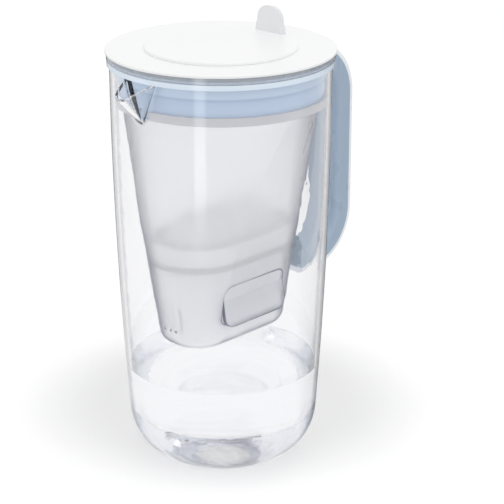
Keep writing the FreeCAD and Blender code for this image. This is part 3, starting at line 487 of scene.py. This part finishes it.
def water_profile():
    """Points as (radius, level), from the axis at the bottom to the axis at the top."""
    bottom = GLASS_FLOOR - WATER_OVERLAP
    points = [(CORNER_R * ring / FLOOR_RINGS, bottom) for ring in range(FLOOR_RINGS)]
    for ring in range(WALL_RINGS + 1):
        level = bottom + (WATER_LEVEL - bottom) * (ring / WALL_RINGS) ** WALL_SPREAD
        points.append((inside_radius(level) + WATER_OVERLAP, level))
    edge = inside_radius(WATER_LEVEL) + WATER_OVERLAP
    for ring in range(1, MENISCUS_RINGS + 1):
        share = ring / MENISCUS_RINGS
        fallen = 1 - math.exp(-MENISCUS_FALL * share)
        points.append((edge - MENISCUS_WIDTH * share, WATER_LEVEL - MENISCUS_RISE * fallen))
    top = WATER_LEVEL - MENISCUS_RISE
    points += [(edge * ring / TOP_RINGS, top) for ring in reversed(range(TOP_RINGS))]
    return points


def lathe(name, profile):
    """A closed turned mesh from (radius, level) in millimetres, starting and ending on the axis."""
    mesh = bpy.data.meshes.new(name)
    built = bmesh.new()
    rows = []
    turns = [2 * math.pi * step / TURN_STEPS for step in range(TURN_STEPS)]
    for radius, level in profile:
        around = turns if radius else turns[:1]
        points = [(radius * math.cos(turn), radius * math.sin(turn), level) for turn in around]
        rows.append([built.verts.new(Vector(point) * MM) for point in points])
    for low, high in zip(rows, rows[1:]):
        for step in range(TURN_STEPS):
            corners = [(low, step), (low, step + 1), (high, step + 1), (high, step)]
            face = [row[turn % len(row)] for row, turn in corners]
            built.faces.new(list(dict.fromkeys(face)))
    bmesh.ops.recalc_face_normals(built, faces=built.faces)
    built.to_mesh(mesh)
    built.free()
    mesh.shade_smooth()
    mesh.set_sharp_from_angle(angle=SHARP)
    piece = bpy.data.objects.new(name, mesh)
    scene.collection.objects.link(piece)
    return piece


water = lathe("filtered_water", water_profile())
water.data.materials.append(MATERIALS["water"])
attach(water, "jug")

# Floor as glossy surfaces mirror it: a bright strip, a dim side and a dim back, which other rays
# don't see. Each has its direction in degrees to the left of the camera, half width and soft edge in
# degrees, added brightness, and the distances from the jug's axis, in metres, that it comes in between
MIRROR_LEVEL = 0.7
MIRROR_DARK = 0.1
STRIPS = [
    (20.0, 4.8, 2.4, 2.8, (0.42, 0.66)),
    (-125, 36, 8, -0.55, (0.0, 0.1)),
    (180, 24, 8, -0.65, (0.0, 0.1)),
]


def strip_glow(tree):
    """Brightness of the floor as glossy surfaces mirror it."""
    direction = vector_node(tree, "NORMALIZE", place(tree))
    distance = vector_node(tree, "LENGTH", place(tree))
    total = MIRROR_LEVEL
    for turn, half_width, soft, level, span in STRIPS:
        near = vector_node(tree, "DOT_PRODUCT", direction, seen_from(turn))
        outer = math.cos(math.radians(half_width + soft))
        inner = math.cos(math.radians(half_width - soft))
        share = mapped_range(tree, near, outer, inner, 0.0, level)
        total = math_node(tree, "MULTIPLY_ADD", share, mapped_range(tree, distance, *span), total)
    return math_node(tree, "MAXIMUM", total, MIRROR_DARK)


# Floor: pale and lit by the lamp and the room, and plain white through glass. A glow makes it white
# further off. The glow is weaker round a point behind the jug, which deepens the shadow there, and has
# one level for rays that aren't the camera's. Sizes are in metres
FLOOR_HALF = 6.0
FLOOR_PALE = ((0.49, 0.49, 0.49), (0.50, 0.50, 0.50))
FLOOR_SCALE = 6
GLOW_NEAR = 0.355
GLOW_FAR = 0.56
GLOW_UNSEEN = 0.35
SHADE_BACK = 0.075
SHADE_SPAN = (0.08, 0.17)
WHITE_LEVEL = 1.0


def floor_material():
    material, tree = new_tree("studio_floor")
    pale = drift(tree, *FLOOR_PALE, FLOOR_SCALE)
    diffuse = add_node(tree, "ShaderNodeBsdfDiffuse", {"Color": pale}).outputs[0]
    reach = vector_node(tree, "DISTANCE", place(tree), away * SHADE_BACK)
    shade = mapped_range(
        tree, reach, *SHADE_SPAN, GLOW_NEAR, GLOW_FAR, interpolation_type="SMOOTHSTEP"
    )
    glow = emission(tree, mix_numbers(tree, any_ray(tree, "Is Camera Ray"), GLOW_UNSEEN, shade))
    lit = add_node(tree, "ShaderNodeAddShader", {0: diffuse, 1: glow}).outputs[0]
    mirrored = emission(tree, strip_glow(tree))
    outside = mix_shaders(tree, any_ray(tree, "Is Glossy Ray"), lit, mirrored)
    plain = emission(tree, WHITE_LEVEL)
    seen = mix_shaders(tree, any_ray(tree, "Is Transmission Ray"), outside, plain)
    add_node(tree, "ShaderNodeOutputMaterial", {"Surface": seen})
    return material


floor_mesh = bpy.data.meshes.new("studio_floor")
corners = [(x * FLOOR_HALF, y * FLOOR_HALF, 0) for x, y in ((-1, -1), (1, -1), (1, 1), (-1, 1))]
floor_mesh.from_pydata(corners, [], [(0, 1, 2, 3)])
floor_mesh.materials.append(floor_material())
floor = bpy.data.objects.new("studio_floor", floor_mesh)
scene.collection.objects.link(floor)

# Light: an even pale room that reads as white behind the part, and one soft box above it
ROOM_LEVEL = 0.85
WHITE = (1, 1, 1, 1)


def studio_world():
    world = bpy.data.worlds.new("studio")
    world.use_nodes = True
    tree = world.node_tree
    tree.nodes.clear()
    room, white = [
        add_node(tree, "ShaderNodeBackground", {"Strength": level, "Color": WHITE}).outputs[0]
        for level in (ROOM_LEVEL, WHITE_LEVEL)
    ]
    seen = any_ray(tree, "Is Camera Ray", "Is Glossy Ray", "Is Transmission Ray")
    add_node(tree, "ShaderNodeOutputWorld", {"Surface": mix_shaders(tree, seen, room, white)})
    return world


scene.world = studio_world()

# Soft box: degrees to the left of the camera, then its place, side and aim in metres, and brightness
BOX_TURN = -30
BOX_OUT = 0.4
BOX_HEIGHT = 2.2
BOX_SIDE = 2.4
BOX_AIM = Vector((0, 0, 0.16))
BOX_LEVEL = 0.5

box_data = bpy.data.lights.new("top_box", "AREA")
box_data.size = BOX_SIDE
box_data.energy = BOX_LEVEL * math.pi * BOX_SIDE**2
box = bpy.data.objects.new("top_box", box_data)
scene.collection.objects.link(box)
box.location = seen_from(BOX_TURN) * BOX_OUT + Vector((0, 0, BOX_HEIGHT))
box.rotation_euler = (BOX_AIM - box.location).to_track_quat("-Z", "Y").to_euler()
